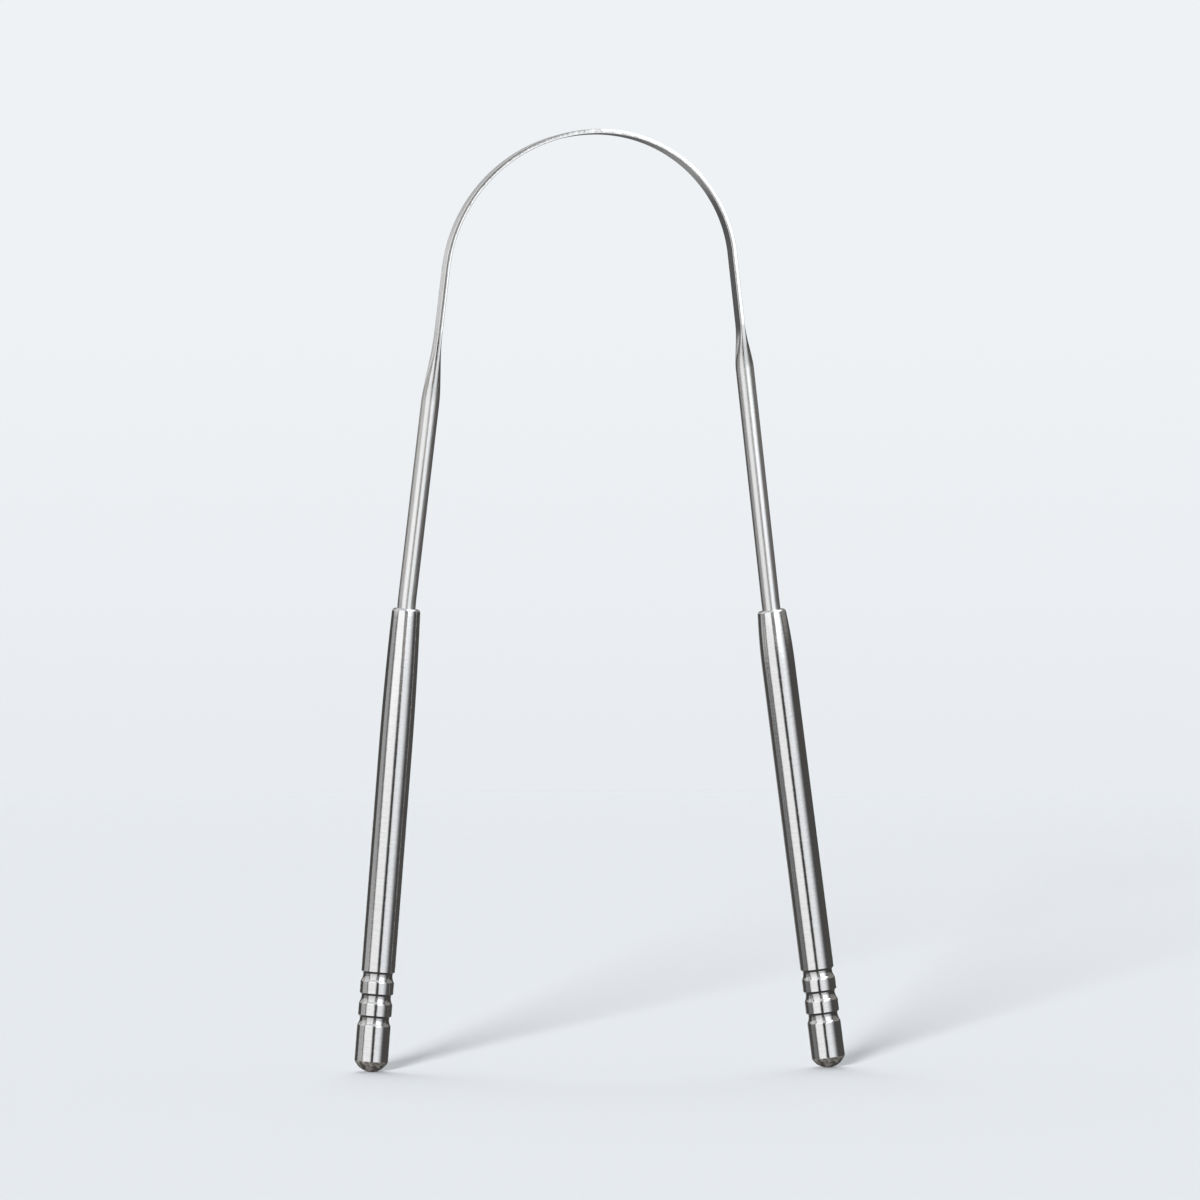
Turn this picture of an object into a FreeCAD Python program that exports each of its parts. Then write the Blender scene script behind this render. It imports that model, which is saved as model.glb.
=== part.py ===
import FreeCAD, Part
import os
from collections import namedtuple
from math import asin, cos, radians, sin, sqrt, tan

# A tongue scraper: one steel wire, pressed flat over its arch, with a tube handle swaged onto each leg.
#
# It stands on the domed ends of its handles. +Z is up, +X is to the right of someone who faces the front,
# and the origin is on the ground, midway between the outer sides of the feet. The wire's centre line lies
# in the plane Y = 0. Lengths are in millimetres and angles in degrees. The two sides have sizes of their
# own, because the wire was bent by hand and its halves differ a little.

# the whole scraper
overall_height = 154.2

# the wire, and the flat band that is pressed out of it
wire_diameter = 3.0
band_thickness = 0.75
band_width = 5.8
left_arch_radius = 25.3
right_arch_radius = 22.3
left_flat_length = 10.8
right_flat_length = 11.6
left_taper_length = 11.5
right_taper_length = 7.5
taper_facet_angle = 20.0

# the legs: how far they lean outwards, and how the wire goes on into the handles
left_leg_angle = 6.75
right_leg_angle = 6.35
left_handle_angle = 4.5
right_handle_angle = 7.35
bend_radius = 25.0
bend_height = 1.2
wire_tail_length = 22.0

# the handle tubes
tube_length = 74.25
tube_diameter = 5.5
tube_wall = 0.6
mouth_diameter = 4.6
mouth_edge_radius = 0.55
left_swage_length = 24.0
right_swage_length = 9.0
grip_length = 4.0
grip_clearance = 0.01

# the grooves that are rolled into the foot of each tube
groove_count = 3
groove_pitch = 3.6
groove_width = 1.65
groove_depth = 0.35
first_groove_height = 6.65

# the end plugs, whose domes are ground flat where the scraper stands on them
dome_height = 1.8
foot_flat_radius = 0.4
plug_clearance = 0.02
shank_overrun = 2.2
shank_chamfer = 0.4

# sizes that follow from those above
tube_radius = tube_diameter / 2
bore_radius = tube_radius - tube_wall
wire_radius = wire_diameter / 2
apex_height = overall_height - band_thickness / 2
dome_radius = (tube_radius**2 + dome_height**2) / (2 * dome_height)
foot_cut = dome_radius - sqrt(dome_radius**2 - foot_flat_radius**2)
groove_radius = ((groove_width / 2) ** 2 + groove_depth**2) / (2 * groove_depth)
groove_centre = tube_radius - groove_depth + groove_radius
mouth_place = dome_height + tube_length

# below this, two lengths or two directions count as the same
TINY = 1e-6

UP = FreeCAD.Vector(0, 0, 1)
DEPTH = FreeCAD.Vector(0, 1, 0)

Side = namedtuple(
    "Side", "name sign arch_radius flat_length taper_length leg_angle handle_angle swage_length"
)
LEFT = Side(
    "left",
    -1,
    left_arch_radius,
    left_flat_length,
    left_taper_length,
    left_leg_angle,
    left_handle_angle,
    left_swage_length,
)
RIGHT = Side(
    "right",
    1,
    right_arch_radius,
    right_flat_length,
    right_taper_length,
    right_leg_angle,
    right_handle_angle,
    right_swage_length,
)


# the centre line of each side, from the top of the arch down to the ground


def downwards(side, angle):
    """The direction in which a leg or handle runs down and outwards."""
    return FreeCAD.Vector(side.sign * sin(radians(angle)), 0, -cos(radians(angle)))


def reach(side):
    """How far each turning point of a side's centre line lies outwards of the arch's top, and its height."""
    wire, handle = radians(side.leg_angle), radians(side.handle_angle)
    tip_height = dome_radius * (1 - cos(handle)) - foot_cut
    bend_z = tip_height + (mouth_place + bend_height) * cos(handle)
    arc_x = side.arch_radius * cos(wire)
    arc_z = apex_height - side.arch_radius * (1 - sin(wire))
    bend_x = arc_x + (arc_z - bend_z) * tan(wire)
    tip_x = bend_x + (mouth_place + bend_height) * sin(handle)
    return {"arc": (arc_x, arc_z), "bend": (bend_x, bend_z), "tip": (tip_x, tip_height)}


def half_width(side):
    """From the arch's top to the outermost corner of a handle, where its tube ends at the foot."""
    handle = radians(side.handle_angle)
    return reach(side)["tip"][0] - dome_height * sin(handle) + tube_radius * cos(handle)


apex_x = (half_width(LEFT) - half_width(RIGHT)) / 2
apex = FreeCAD.Vector(apex_x, 0, apex_height)


def place(side, name):
    """A turning point of a side's centre line, in the frame of the whole scraper."""
    out, height = reach(side)[name]
    return FreeCAD.Vector(apex_x + side.sign * out, 0, height)


def upright_at(point, side, angle):
    """A placement whose Z axis runs up along a leg or handle, and whose X axis lies across the front."""
    return FreeCAD.Placement(point, FreeCAD.Rotation(DEPTH, -side.sign * angle))


# sections and profiles


def vector(x, y, z=0.0):
    return FreeCAD.Vector(x, y, z)


def line(a, b):
    return Part.LineSegment(a, b).toShape()


def arc(a, middle, b):
    return Part.Arc(a, middle, b).toShape()


def band_section():
    """The pressed band's section: two flats with round edges, its thickness along X and its width along Y."""
    t = band_thickness / 2
    flat = band_width / 2 - t
    corners = [vector(t, -flat), vector(t, flat), vector(-t, flat), vector(-t, -flat)]
    return Part.Wire(
        [
            line(corners[0], corners[1]),
            arc(corners[1], vector(0, band_width / 2), corners[2]),
            line(corners[2], corners[3]),
            arc(corners[3], vector(0, -band_width / 2), corners[0]),
        ]
    )


def wire_section():
    """The round wire's section, in four arcs that match the band's flats and edges."""
    x = wire_radius * cos(radians(taper_facet_angle))
    y = wire_radius * sin(radians(taper_facet_angle))
    corners = [vector(x, -y), vector(x, y), vector(-x, y), vector(-x, -y)]
    return Part.Wire(
        [
            arc(corners[0], vector(wire_radius, 0), corners[1]),
            arc(corners[1], vector(0, wire_radius), corners[2]),
            arc(corners[2], vector(-wire_radius, 0), corners[3]),
            arc(corners[3], vector(0, -wire_radius), corners[0]),
        ]
    )


def placed(shape, placement):
    """A copy of a shape that is drawn about the origin, moved to its place."""
    copy = shape.copy()
    copy.Placement = placement.multiply(copy.Placement)
    return copy


def turned(edges):
    """The solid of revolution of a closed profile, drawn with its radius along X and its height along Z."""
    return Part.Face(Part.Wire(edges)).revolve(FreeCAD.Vector(0, 0, 0), UP, 360)


def joined(solids):
    """Several solids that meet face to face, made one."""
    return solids[0].multiFuse(solids[1:]).removeSplitter().Solids[0]


def grooved_wall(radius, offset, top):
    """A wall from the tube's foot up to a height, which follows the rolled grooves at an offset inwards.

    Each groove is an arc about one centre outside the tube, so walls at any offset stay parallel to it.
    """
    sweep = groove_radius + offset
    half = sqrt(sweep**2 - (groove_centre - radius) ** 2)
    edges, height = [], dome_height
    for i in range(groove_count):
        middle = dome_height + first_groove_height + i * groove_pitch
        low, high = vector(radius, 0, middle - half), vector(radius, 0, middle + half)
        edges.append(line(vector(radius, 0, height), low))
        edges.append(arc(low, vector(groove_centre - sweep, 0, middle), high))
        height = middle + half
    edges.append(line(vector(radius, 0, height), vector(radius, 0, top)))
    return edges


# the pieces


def scraping_band():
    """The flat stretch of the wire: both halves of the arch, and the straight flats below them."""
    lying = FreeCAD.Rotation(DEPTH, -90)
    section = Part.Face(placed(band_section(), FreeCAD.Placement(apex, lying)))
    solids = []
    for side in (LEFT, RIGHT):
        centre = apex - UP * side.arch_radius
        turn = side.sign * (90 - side.leg_angle)
        solids.append(section.revolve(centre, DEPTH, turn))
        end = upright_at(place(side, "arc"), side, side.leg_angle)
        flat = Part.Face(placed(band_section(), end))
        solids.append(flat.extrude(downwards(side, side.leg_angle) * side.flat_length))
    return joined(solids)


def bent_run(start, corner, end):
    """Two straight runs with an arc between them, or one straight run where they are in line."""
    along, onwards = (corner - start).normalize(), (end - corner).normalize()
    turn = along.getAngle(onwards)
    if turn < TINY:
        return Part.Wire([line(start, end)])
    back = bend_radius * tan(turn / 2)
    first, last = corner - along * back, corner + onwards * back
    inwards = (onwards - along).normalize()
    middle = corner + inwards * (bend_radius / cos(turn / 2) - bend_radius)
    return Part.Wire([line(start, first), arc(first, middle, last), line(last, end)])


def wire_leg(side):
    """The rest of the wire on one side: from flat to round, down to the handle, and on into its tube."""
    down = downwards(side, side.leg_angle)
    flat_end = place(side, "arc") + down * side.flat_length
    round_start = flat_end + down * side.taper_length
    tail = place(side, "bend") + downwards(side, side.handle_angle) * (bend_height + wire_tail_length)
    flat = placed(band_section(), upright_at(flat_end, side, side.leg_angle))
    circle = placed(wire_section(), upright_at(round_start, side, side.leg_angle))
    taper = Part.makeLoft([flat, circle], True, True)
    path = bent_run(round_start, place(side, "bend"), tail)
    return joined([taper, path.makePipeShell([circle], True, False)])


def handle_tube(side):
    """A tube with its mouth swaged onto the wire, and rolled grooves near its foot."""
    swage_start = mouth_place - side.swage_length
    drop = tube_radius - mouth_diameter / 2
    swage_radius = (side.swage_length**2 + drop**2) / (2 * drop)
    half_turn = asin(side.swage_length / swage_radius) / 2
    swage_middle = vector(
        tube_radius - swage_radius * (1 - cos(half_turn)), 0, swage_start + swage_radius * sin(half_turn)
    )
    rim = vector(mouth_diameter / 2, 0, mouth_place)
    grip = wire_radius + grip_clearance
    mouth = vector(grip, 0, mouth_place)
    grip_end = vector(grip, 0, mouth_place - grip_length)
    bore_end = vector(bore_radius, 0, swage_start)
    edges = [line(vector(bore_radius, 0, dome_height), vector(tube_radius, 0, dome_height))]
    edges += grooved_wall(tube_radius, 0, swage_start)
    edges.append(arc(vector(tube_radius, 0, swage_start), swage_middle, rim))
    edges += [line(rim, mouth), line(mouth, grip_end), line(grip_end, bore_end)]
    edges += grooved_wall(bore_radius, tube_wall, swage_start)
    solid = turned(Part.sortEdges(edges)[0])
    rims = [e for e in solid.Edges if on_rim(e)]
    solid = solid.makeFillet(mouth_edge_radius, rims).Solids[0]
    return placed(solid, upright_at(place(side, "tip"), side, side.handle_angle))


def on_rim(edge):
    """Whether an edge is the outer circle of a tube's mouth, before the tube is put in its place."""
    box = edge.BoundBox
    level = abs(box.ZMin - mouth_place) < TINY and abs(box.ZMax - mouth_place) < TINY
    return level and abs(box.XMax - mouth_diameter / 2) < TINY


def end_plug(side):
    """A domed foot that closes the tube, with a shank whose grooves the tube is rolled into.

    The dome reaches below the ground by the cut that grinds its foot flat.
    """
    shank = bore_radius - plug_clearance
    top = dome_height + first_groove_height + (groove_count - 1) * groove_pitch + shank_overrun
    half_turn = asin(tube_radius / dome_radius) / 2
    dome_middle = vector(dome_radius * sin(half_turn), 0, dome_radius * (1 - cos(half_turn)))
    shoulder = vector(tube_radius, 0, dome_height)
    chamfer_low = vector(shank, 0, top)
    chamfer_high = vector(shank - shank_chamfer, 0, top + shank_chamfer)
    axis_top = vector(0, 0, top + shank_chamfer)
    edges = [arc(vector(0, 0, 0), dome_middle, shoulder), line(shoulder, vector(shank, 0, dome_height))]
    edges += grooved_wall(shank, tube_wall + plug_clearance, top)
    edges += [line(chamfer_low, chamfer_high), line(chamfer_high, axis_top), line(axis_top, vector(0, 0, 0))]
    whole = placed(turned(edges), upright_at(place(side, "tip"), side, side.handle_angle))
    corner = place(side, "tip") - vector(tube_radius, tube_radius)
    corner.z = -tube_diameter
    ground = Part.makeBox(tube_diameter, tube_diameter, tube_diameter, corner)
    return whole.cut(ground).Solids[0]


def build():
    """Every piece by its node's name."""
    pieces = {"scraping_band": scraping_band()}
    for side in (LEFT, RIGHT):
        pieces[side.name + "_wire_leg"] = wire_leg(side)
        pieces[side.name + "_handle_tube"] = handle_tube(side)
        pieces[side.name + "_end_plug"] = end_plug(side)
    return pieces


os.makedirs("parts", exist_ok=True)
for node, shape in build().items():
    shape.exportStep(os.path.join("parts", node + ".step"))
    print(node, shape.ShapeType, shape.isValid(), round(shape.Volume, 3), shape.BoundBox)
for side in (LEFT, RIGHT):
    print(side.name, {name: place(side, name) for name in reach(side)})
print("top of the arch", apex)
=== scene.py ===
"""A steel tongue scraper for a studio picture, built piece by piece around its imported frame.

It stands on its feet, with +Z up, +X to the right of someone who faces its front, and everything in metres.
"""
from collections import namedtuple
from math import asin, cos, pi, radians, sin, sqrt, tan

import bpy
import numpy as np
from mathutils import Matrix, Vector


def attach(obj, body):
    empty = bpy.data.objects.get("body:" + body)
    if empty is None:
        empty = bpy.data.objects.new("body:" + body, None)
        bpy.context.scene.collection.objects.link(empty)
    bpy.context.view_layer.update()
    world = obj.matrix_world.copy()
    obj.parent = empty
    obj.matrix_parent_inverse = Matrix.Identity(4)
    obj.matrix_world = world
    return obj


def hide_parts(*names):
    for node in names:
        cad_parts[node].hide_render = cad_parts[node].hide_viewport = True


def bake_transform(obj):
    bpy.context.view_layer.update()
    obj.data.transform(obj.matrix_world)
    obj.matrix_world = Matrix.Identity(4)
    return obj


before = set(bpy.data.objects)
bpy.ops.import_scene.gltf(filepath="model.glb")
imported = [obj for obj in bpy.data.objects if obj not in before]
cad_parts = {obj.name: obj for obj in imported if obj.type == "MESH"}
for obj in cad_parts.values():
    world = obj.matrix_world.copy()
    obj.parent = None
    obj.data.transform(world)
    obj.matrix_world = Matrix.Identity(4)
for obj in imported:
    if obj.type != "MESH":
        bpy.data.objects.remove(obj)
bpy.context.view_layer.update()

bl_info = {
    "name": "Tongue scraper",
    "version": (1, 0, 0),
    "blender": (4, 5, 0),
    "location": "3D View > Sidebar > Scraper",
    "description": "Builds a steel tongue scraper with sprung tube handles, and a plain studio around it",
    "category": "Object",
}

MM = 0.001

# how finely the surfaces are divided
ARC_STEPS = 110
RUN_STEPS = 14
TAPER_STEPS = 26
BEND_STEPS = 12
FLAT_STEPS = 14
EDGE_STEPS = 18
TURN_STEPS = 96
FOOT_STEPS = 8
WALL_STEPS = 18
SWAGE_STEPS = 30
RIM_STEPS = 9
DOME_STEPS = 40
GROOVE_STEP_MM = 0.05
SHARP_ANGLE = radians(32)

# the turn at which a dome starts beside its axis, where a small flat face closes it
DOME_START = 0.01

# how strongly the press brightens the steel of a taper, where 1 is a rubbed edge
PRESSED_MARK = 1.6

# keeps a step of no length from dividing by zero
TINY = 1e-9


# what a user would change


def linear(hex_colour):
    """Turn an sRGB hex value into linear red, green and blue."""
    srgb = np.array([int(hex_colour[i : i + 2], 16) for i in (1, 3, 5)]) / 255
    values = np.where(srgb <= 0.04045, srgb / 12.92, ((srgb + 0.055) / 1.055) ** 2.4)
    return tuple(float(v) for v in values)


def length(name, millimetres, description):
    """A length, written in millimetres and held in metres."""
    return bpy.props.FloatProperty(
        name=name, description=description, default=millimetres * MM, min=0.0, precision=5, unit="LENGTH"
    )


def angle(name, degrees, description):
    """An angle, written in degrees."""
    return bpy.props.FloatProperty(
        name=name, description=description, default=radians(degrees), subtype="ANGLE", unit="ROTATION"
    )


def amount(name, value, description):
    """A plain number, such as a roughness or a strength."""
    return bpy.props.FloatProperty(name=name, description=description, default=value, min=0.0)


def colour(name, hex_colour, description):
    """A colour, written as an sRGB hex value."""
    return bpy.props.FloatVectorProperty(
        name=name,
        description=description,
        default=linear(hex_colour),
        min=0.0,
        max=1.0,
        size=3,
        subtype="COLOR",
    )


class ScraperWire(bpy.types.PropertyGroup):
    """Sizes of the wire, the band pressed out of it, and how its halves are bent."""

    height: length("Height", 154.2, "From the ground to the top of the arch")
    wire_diameter: length("Wire diameter", 3.0, "Across the round wire of the legs")
    band_thickness: length("Band thickness", 0.75, "Through the flat band of the arch")
    band_width: length("Band width", 5.8, "Across the flat band of the arch")
    edge_squareness: amount("Edge squareness", 7.0, "Of the band's edges: 2 is half-round, more is squarer")
    left_arch_radius: length("Left arch radius", 25.3, "Of the band's middle line, left of the top")
    right_arch_radius: length("Right arch radius", 22.3, "Of the band's middle line, right of the top")
    left_flat_length: length("Left flat length", 10.8, "Of the straight flat below the left arch")
    right_flat_length: length("Right flat length", 11.6, "Of the straight flat below the right arch")
    left_taper_length: length("Left taper length", 11.5, "Over which the left band becomes round wire")
    right_taper_length: length("Right taper length", 7.5, "Over which the right band becomes round wire")
    taper_facet_angle: angle("Taper facet angle", 20.0, "Half the share of the round that each flat becomes")
    left_leg_angle: angle("Left leg angle", 6.75, "How far the left wire leans outwards")
    right_leg_angle: angle("Right leg angle", 6.35, "How far the right wire leans outwards")
    left_handle_angle: angle("Left handle angle", 4.5, "How far the left handle leans outwards")
    right_handle_angle: angle("Right handle angle", 7.35, "How far the right handle leans outwards")
    bend_radius: length("Bend radius", 25.0, "Of the slight bend where each leg meets its handle")
    bend_height: length("Bend height", 1.2, "Of that bend above the handle's mouth")
    tail_length: length("Wire tail length", 22.0, "How far the wire goes on inside its handle")


class ScraperHandles(bpy.types.PropertyGroup):
    """Sizes of the tube handles and the plugs that close them."""

    tube_length: length("Tube length", 74.25, "From the foot's shoulder to the mouth")
    tube_diameter: length("Tube diameter", 5.5, "Across the plain stretch of a handle")
    tube_wall: length("Tube wall", 0.6, "Thickness of the tube's wall")
    mouth_diameter: length("Mouth diameter", 4.6, "Across the swaged mouth, outside")
    mouth_edge_radius: length("Mouth edge radius", 0.55, "Rounding of the mouth's outer edge")
    left_swage_length: length("Left swage length", 24.0, "Over which the left tube narrows to its mouth")
    right_swage_length: length("Right swage length", 9.0, "Over which the right tube narrows to its mouth")
    grip_length: length("Grip length", 4.0, "How far the mouth holds the wire")
    grip_clearance: length("Grip clearance", 0.01, "Between the wire and the mouth that holds it")
    groove_pitch: length("Groove pitch", 3.6, "From one rolled groove to the next")
    groove_width: length("Groove width", 1.65, "Across one rolled groove")
    groove_depth: length("Groove depth", 0.35, "How far a groove is rolled in")
    groove_lip: length("Groove lip", 0.1, "How softly the lips of a groove are rounded")
    groove_waist: length("Groove waist", 0.45, "From a groove's upper lip down to its deepest line")
    first_groove_height: length("First groove", 6.65, "From the foot's shoulder to the lowest groove")
    groove_count: bpy.props.IntProperty(
        name="Grooves", description="How many grooves are rolled into each handle", default=3, min=1
    )
    dome_height: length("Dome height", 1.8, "Of the domed foot below the tube's end")
    foot_flat_radius: length("Foot flat radius", 0.4, "Of the flat that the foot stands on")
    plug_clearance: length("Plug clearance", 0.02, "Between a plug's shank and the tube")
    shank_overrun: length("Shank overrun", 2.2, "How far a plug's shank goes past the last groove")
    shank_chamfer: length("Shank chamfer", 0.4, "On the upper edge of a plug's shank")


class ScraperFinishes(bpy.types.PropertyGroup):
    """Colours and gloss of the steels."""

    band_colour: colour("Band", "#EDEDED", "Pressed and polished band")
    band_line_colour: colour("Band lines", "#DBDBDB", "Faint lines that the rolls left along the band")
    band_roughness: amount("Band roughness", 0.12, "Of the polished band")
    wire_colour: colour("Wire", "#E2E2E2", "Drawn wire")
    wire_line_colour: colour("Wire lines", "#D0D0D0", "Die lines along the drawn wire")
    wire_roughness: amount("Wire roughness", 0.28, "Of the drawn wire")
    tube_colour: colour("Tube", "#DADADB", "Satin tube")
    tube_line_colour: colour("Tube lines", "#D3D3D4", "Grinding lines round the satin tube")
    tube_roughness: amount("Tube roughness", 0.09, "Of the satin tube")
    plug_colour: colour("Foot", "#B9B5B0", "Ground foot")
    plug_stain_colour: colour("Foot stain", "#524D48", "Dull stain in the hollows of the ground foot")
    plug_roughness: amount("Foot roughness", 0.46, "Of the ground foot")


class ScraperStage(bpy.types.PropertyGroup):
    """Where the camera stands, and the colours and strengths of the studio."""

    camera_azimuth: angle("Camera azimuth", -7.5, "Round the upright axis, negative to the left of the front")
    camera_distance: length("Camera distance", 1400.0, "From the camera to the point it looks at")
    camera_height: length("Camera height", 105.0, "Of the camera above the ground")
    target_height: length("Target height", 77.1, "Of the point that the camera looks at")
    camera_lens: bpy.props.FloatProperty(
        name="Lens", description="Focal length on a 36 mm wide sensor", default=256.1, min=1.0, unit="CAMERA"
    )
    floor_colour: colour("Floor", "#E6EAEE", "Plain pale floor")
    backdrop_low_colour: colour("Backdrop, low", "#E7EBEF", "Pale backdrop where it meets the floor")
    backdrop_high_colour: colour("Backdrop, high", "#EFF2F5", "Pale backdrop above the object")
    fill_strength: amount("Fill", 0.31, "Soft light from all round")
    fill_from_behind: amount("Fill from behind", 1.0, "How much more of the fill comes from behind")
    key_share: amount("Key share", 0.41, "Light on the floor from the low key that draws the soft shadow")
    rear_share: amount("Rear share", 0.28, "Light on the floor from the broad lamp behind")
    left_box_strength: amount("Left soft box", 1.16, "Brightness of the soft box left of the camera")
    right_box_strength: amount("Right soft box", 1.12, "Brightness of the soft box right of the camera")
    top_box_strength: amount("Top soft box", 3.5, "Brightness of the soft box overhead")
    bounce_strength: amount("Bounce", 0.44, "Brightness of the narrow grey card on the left")
    flag_strength: amount("Flags", 0.09, "Brightness of the dark flags that give the metal its dark lines")
    left_box_colour: colour("Left soft box colour", "#FFFFFF", "Plain white")
    right_box_colour: colour("Right soft box colour", "#FBFDFF", "A touch cool")
    flag_colour: colour("Flag colour", "#FFFAF3", "Warm, so that the dark lines look a little brown")


class ScraperSettings(bpy.types.PropertyGroup):
    """Everything that the operators read."""

    wire: bpy.props.PointerProperty(type=ScraperWire, name="Wire", description="Wire and band")
    handles: bpy.props.PointerProperty(type=ScraperHandles, name="Handles", description="Tubes and plugs")
    finishes: bpy.props.PointerProperty(type=ScraperFinishes, name="Finishes", description="Steels")
    stage: bpy.props.PointerProperty(type=ScraperStage, name="Stage", description="Camera, floor and light")


# the scraper's centre line, as the solids have it

Side = namedtuple(
    "Side", "name sign arch_radius flat_length taper_length leg_angle handle_angle swage_length"
)


def sides(settings):
    """The sizes that differ between the left and the right half."""
    wire, handles = settings.wire, settings.handles
    found = []
    for name, sign in (("left", -1), ("right", 1)):
        own = [getattr(wire, f"{name}_{size}") for size in Side._fields[2:7]]
        found.append(Side(name, sign, *own, getattr(handles, f"{name}_swage_length")))
    return found


def dome_radius(handles):
    """The radius of the ball that a foot's dome is cut from: (r squared + h squared) / 2h."""
    tube = handles.tube_diameter / 2
    return (tube**2 + handles.dome_height**2) / (2 * handles.dome_height)


def reach(side, settings):
    """How far the arc's end, the bend and the tip lie outwards of the arch's top, and how high."""
    wire, handles = settings.wire, settings.handles
    ball = dome_radius(handles)
    foot_cut = ball - sqrt(ball**2 - handles.foot_flat_radius**2)
    run = handles.dome_height + handles.tube_length + wire.bend_height
    tip_z = ball * (1 - cos(side.handle_angle)) - foot_cut
    bend_z = tip_z + run * cos(side.handle_angle)
    arc_x = side.arch_radius * cos(side.leg_angle)
    arc_z = wire.height - wire.band_thickness / 2 - side.arch_radius * (1 - sin(side.leg_angle))
    bend_x = arc_x + (arc_z - bend_z) * tan(side.leg_angle)
    tip_x = bend_x + run * sin(side.handle_angle)
    return {"arc": (arc_x, arc_z), "bend": (bend_x, bend_z), "tip": (tip_x, tip_z)}


def apex(settings):
    """The middle of the band at the top of the arch, midway between the outer sides of the feet."""
    handles = settings.handles
    widths = []
    for side in sides(settings):
        out = reach(side, settings)["tip"][0]
        lean = side.handle_angle
        widths.append(out - handles.dome_height * sin(lean) + handles.tube_diameter / 2 * cos(lean))
    return np.array([(widths[0] - widths[1]) / 2, settings.wire.height - settings.wire.band_thickness / 2])


def place(side, settings, name):
    """A turning point of the centre line as (x, z)."""
    out, height = reach(side, settings)[name]
    return np.array([apex(settings)[0] + side.sign * out, height])


def downwards(side, lean):
    """The unit vector (x, z) in which a leg or handle runs down and outwards."""
    return np.array([side.sign * sin(lean), -cos(lean)])


# sections and surfaces


def flat_section(wire):
    """The band's section: a flat, a rounded edge, the other flat and its edge, as (thickness, width).

    The edge is half a superellipse, t times (cos, sin) of the turn, each to the power 2 / squareness.
    """
    t = wire.band_thickness / 2
    flat = wire.band_width / 2 - t
    rise = np.linspace(-flat, flat, FLAT_STEPS, endpoint=False)
    turn = np.linspace(0, np.pi, EDGE_STEPS, endpoint=False)
    power = 2 / wire.edge_squareness
    front = np.column_stack([np.full(FLAT_STEPS, t), rise])
    across = np.sign(np.cos(turn)) * np.abs(np.cos(turn)) ** power
    edge = np.column_stack([t * across, flat + t * np.sin(turn) ** power])
    half = np.vstack([front, edge])
    return np.vstack([half, -half])


def round_section(wire):
    """The wire's section, a circle whose points match those of the band's flats and edges."""
    facet = wire.taper_facet_angle
    front = np.linspace(-facet, facet, FLAT_STEPS, endpoint=False)
    edge = np.linspace(facet, np.pi - facet, EDGE_STEPS, endpoint=False)
    turn = np.concatenate([front, edge])
    half = wire.wire_diameter / 2 * np.column_stack([np.cos(turn), np.sin(turn)])
    return np.vstack([half, -half])


def swept(centres, normals, sections):
    """Carry sections along a path: centre + thickness times the path's normal + width along Y."""
    rows = np.zeros((len(centres), sections.shape[1], 3))
    rows[:, :, 0] = centres[:, None, 0] + normals[:, None, 0] * sections[:, :, 0]
    rows[:, :, 1] = sections[:, :, 1]
    rows[:, :, 2] = centres[:, None, 1] + normals[:, None, 1] * sections[:, :, 0]
    return rows


def path_lengths(centres):
    """How far along a path each of its points is."""
    steps = np.linalg.norm(np.diff(centres, axis=0), axis=1)
    return np.concatenate([[0.0], np.cumsum(steps)])


def grain_of(sections, lengths):
    """Where each point is on the straightened piece, in millimetres: across, across, and along it."""
    grain = np.zeros(sections.shape[:2] + (3,))
    grain[:, :, :2] = sections
    grain[:, :, 2] = lengths[:, None]
    return grain / MM


def revolved(profile, point, side, lean):
    """Turn a profile of (radius, height) round a handle's axis, which leans outwards at the foot.

    A point is tip + radius times (cos, sin) of the turn across the axis + height up the axis.
    """
    turn = np.linspace(0, 2 * np.pi, TURN_STEPS, endpoint=False)
    across = profile[:, 0, None] * np.cos(turn)
    depth = profile[:, 0, None] * np.sin(turn)
    up = np.broadcast_to(profile[:, 1, None], across.shape)
    tilt = -side.sign * lean
    x = point[0] + across * cos(tilt) + up * sin(tilt)
    z = point[1] - across * sin(tilt) + up * cos(tilt)
    return np.stack([x, depth, z], axis=2), np.stack([across, depth, up], axis=2) / MM


def skin(name, rows, grain, marks=None, ring=False):
    """Make a mesh object from rows of points round a piece.

    Four neighbours on the grid make a face. A ring joins its last row to its first, and any other piece is
    closed by one flat face at each end. The grain and the marks go with the points as attributes.
    """
    count, columns = rows.shape[:2]
    index = np.arange(count * columns).reshape(count, columns)
    low = index if ring else index[:-1]
    high = np.roll(index, -1, axis=0) if ring else index[1:]
    quads = np.stack([low, np.roll(low, -1, axis=1), np.roll(high, -1, axis=1), high], axis=2)
    faces = quads.reshape(-1, 4).tolist()
    smooth = [True] * len(faces)
    if not ring:
        faces += [index[0, ::-1].tolist(), index[-1].tolist()]
        smooth += [False, False]
    mesh = bpy.data.meshes.new(name)
    mesh.from_pydata(rows.reshape(-1, 3).tolist(), [], faces)
    mesh.polygons.foreach_set("use_smooth", smooth)
    mesh.set_sharp_from_angle(angle=SHARP_ANGLE)
    held = mesh.attributes.new("grain", "FLOAT_VECTOR", "POINT")
    held.data.foreach_set("vector", grain.astype(np.float32).ravel())
    for mark, values in (marks or {}).items():
        held = mesh.attributes.new(mark, "FLOAT", "POINT")
        held.data.foreach_set("value", values.astype(np.float32).ravel())
    if mesh.validate(verbose=False):
        raise RuntimeError(f"the surface of {name} has faults")
    piece = bpy.data.objects.new(name, mesh)
    bpy.context.scene.collection.objects.link(piece)
    return piece


def outward(rows, side):
    """The same rows with their points in the order that makes the faces of either half look outwards."""
    return rows[:, ::-1] if side.sign > 0 else rows


def softer_least(a, b, width):
    """The lesser of two values, rounded off where they cross over a width."""
    near = np.clip(width - np.abs(a - b), 0, None) / width
    return np.minimum(a, b) - near**2 * width / 4


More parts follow.
